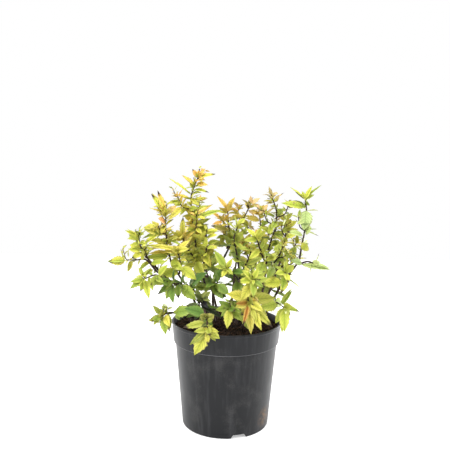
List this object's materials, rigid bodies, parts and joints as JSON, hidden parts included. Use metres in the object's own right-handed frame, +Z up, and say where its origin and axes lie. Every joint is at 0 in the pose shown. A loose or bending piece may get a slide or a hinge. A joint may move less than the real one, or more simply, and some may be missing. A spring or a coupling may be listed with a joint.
{
  "type": "golden-leaved spirea shrub in a nursery pot",
  "caption": "Small deciduous flowering shrub with thin upright canes and golden-green toothed leaves, growing in a round tapered nursery pot that stands on the ground.",
  "frame": {"origin": "centre of the flat underside of the pot, on the ground", "axes": "+Z up along the pot's axis, +X to the right in the front view, -Y towards the viewer of that view"},
  "size_m": [0.327, 0.2601, 0.396],
  "materials": {
    "pot_plastic": "dull black injection-moulded plastic",
    "peat": "moist dark potting compost with bark crumbs",
    "cane_bark": "thin dark red-brown bark",
    "foliage": "soft matt golden-green leaves"
  },
  "bodies": {
    "root": {"pot": "pot_plastic", "soil": "peat", "cane_tall": "cane_bark", "cane_left": "cane_bark", "cane_low_left": "cane_bark", "cane_mid_left": "cane_bark", "cane_middle": "cane_bark", "cane_upright": "cane_bark", "cane_mid_right": "cane_bark", "cane_right": "cane_bark", "cane_back_right": "cane_bark", "cane_front_right": "cane_bark", "cane_front": "cane_bark", "cane_low_front": "cane_bark", "cane_back_left": "cane_bark", "cane_back": "cane_bark", "leaves_tall": "foliage", "leaves_tall_inner": "foliage", "leaves_tall_right": "foliage", "leaves_tall_left": "foliage", "leaves_left": "foliage", "leaves_left_in": "foliage", "leaves_left_low": "foliage", "leaves_low_left": "foliage", "leaves_low_left_up": "foliage", "leaves_low_left_under": "foliage", "leaves_mid_left": "foliage", "leaves_mid_left_fork": "foliage", "leaves_mid_left_low": "foliage", "leaves_middle": "foliage", "leaves_middle_left": "foliage", "leaves_middle_right": "foliage", "leaves_upright": "foliage", "leaves_upright_left": "foliage", "leaves_mid_right": "foliage", "leaves_mid_right_in": "foliage", "leaves_mid_right_out": "foliage", "leaves_right": "foliage", "leaves_right_out": "foliage", "leaves_right_low": "foliage", "leaves_right_rim": "foliage", "leaves_back_right": "foliage", "leaves_back_right_out": "foliage", "leaves_back_right_low": "foliage", "leaves_front_right": "foliage", "leaves_front_right_low": "foliage", "leaves_front_right_left": "foliage", "leaves_front": "foliage", "leaves_front_up": "foliage", "leaves_low_front": "foliage", "leaves_back_left": "foliage", "leaves_back_left_out": "foliage", "leaves_back": "foliage", "leaves_back_low": "foliage"}
  },
  "joints": []
}
